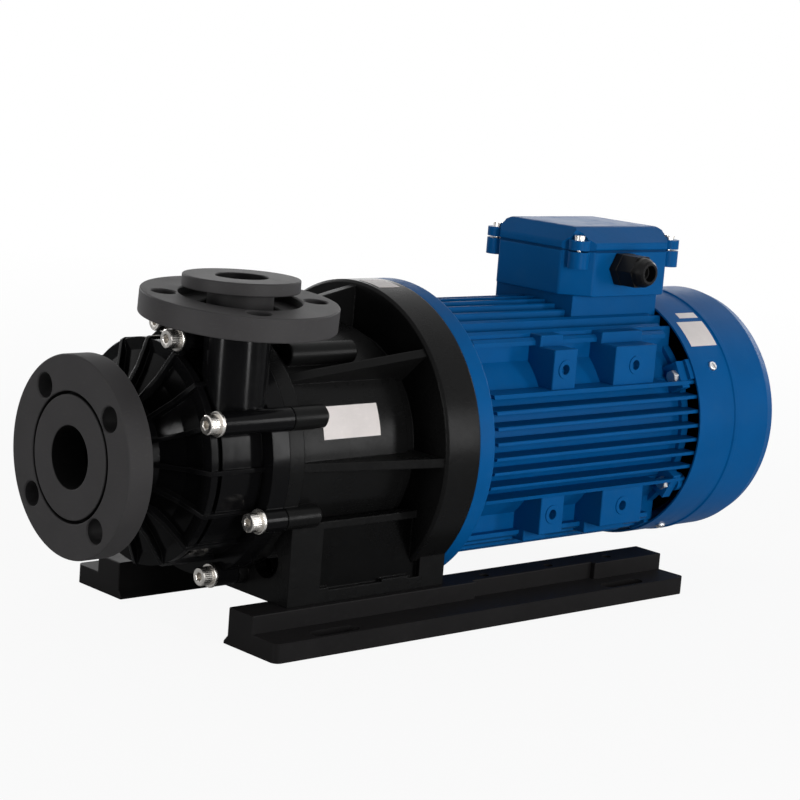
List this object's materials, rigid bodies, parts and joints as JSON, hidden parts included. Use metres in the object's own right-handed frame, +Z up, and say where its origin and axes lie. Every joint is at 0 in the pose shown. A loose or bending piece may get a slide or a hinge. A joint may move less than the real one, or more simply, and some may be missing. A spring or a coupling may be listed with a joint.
{
  "type": "magnetic drive pump",
  "caption": "Black plastic magnetic drive pump with loose suction and discharge ring flanges, a lantern bracket, a blue finned flange motor and two base rails.",
  "frame": {"origin": "on the floor under the base rails, at the middle of the four anchor slots", "axes": "+X along the shaft from the suction side to the motor, +Y to the far side from the cable gland, +Z up"},
  "size_m": [0.6885, 0.267, 0.308],
  "materials": {
    "flange_plastic": "satin",
    "casing_plastic": "gloss",
    "rail_plastic": "satin",
    "rubber_seal": "matte",
    "ceramic_white": "gloss",
    "carbon": "matte",
    "magnet": "satin",
    "cast_hub": "matte",
    "steel": "satin",
    "stainless": "polished",
    "blue_paint": "satin",
    "copper_winding": "satin",
    "board_plastic": "matte",
    "brass_stud": "polished",
    "gland_plastic": "satin"
  },
  "bodies": {
    "pump": {"suction_stub_end": "flange_plastic", "front_casing": "casing_plastic", "discharge_stub_end": "flange_plastic", "casing_gasket": "rubber_seal", "rear_casing": "casing_plastic", "pump_spindle": "ceramic_white", "front_thrust_ring": "ceramic_white", "casing_liner_ring": "ceramic_white", "bracket": "casing_plastic", "casing_bolts": "stainless", "casing_washers": "stainless", "base_rail_near": "rail_plastic", "base_rail_far": "rail_plastic", "base_bolts": "steel", "drive_end_shield": "blue_paint", "flange_bolts": "steel", "shaft_seal": "rubber_seal", "motor_frame": "blue_paint", "stator_core": "steel", "stator_windings": "copper_winding", "drive_bearing_outer": "steel", "rear_bearing_outer": "steel", "rear_end_shield": "blue_paint", "shield_bolts": "steel", "fan_cowl": "blue_paint", "cowl_screws": "stainless", "terminal_box": "blue_paint", "terminal_board": "board_plastic", "terminal_studs": "brass_stud", "lid_gasket": "rubber_seal", "terminal_box_lid": "blue_paint", "lid_screws": "stainless", "gland_body": "gland_plastic", "gland_locknut": "gland_plastic", "gland_seal": "rubber_seal", "gland_dome_nut": "gland_plastic"},
    "rotor": {"motor_shaft": "steel", "rotor_core": "steel", "drive_bearing_inner": "steel", "rear_bearing_inner": "steel", "cooling_fan": "casing_plastic", "fan_circlip": "steel", "outer_magnet_hub": "cast_hub", "outer_magnets": "magnet", "hub_key": "steel"},
    "wheel": {"impeller": "casing_plastic", "bearing_bush": "carbon", "inner_magnet": "magnet"},
    "suction_ring": {"suction_ring_flange": "flange_plastic"},
    "discharge_ring": {"discharge_ring_flange": "flange_plastic"}
  },
  "joints": [
    {"name": "rotor_spin", "type": "hinge", "parent": "pump", "child": "rotor", "pos_m": [0.1055, 0, 0.136], "axis": [1, 0, 0], "continuous": true},
    {"name": "wheel_spin", "type": "hinge", "parent": "pump", "child": "wheel", "pos_m": [-0.1845, 0, 0.136], "axis": [1, 0, 0], "continuous": true},
    {"name": "suction_ring_turn", "type": "hinge", "parent": "pump", "child": "suction_ring", "pos_m": [-0.3145, 0, 0.136], "axis": [1, 0, 0], "continuous": true},
    {"name": "discharge_ring_lift", "type": "slide", "parent": "pump", "child": "discharge_ring", "axis": [0, 0, 1], "range_m": [0, 0.008]}
  ],
  "couplings": [
    {"joint": "wheel_spin", "follows": "rotor_spin", "ratio": 1}
  ]
}
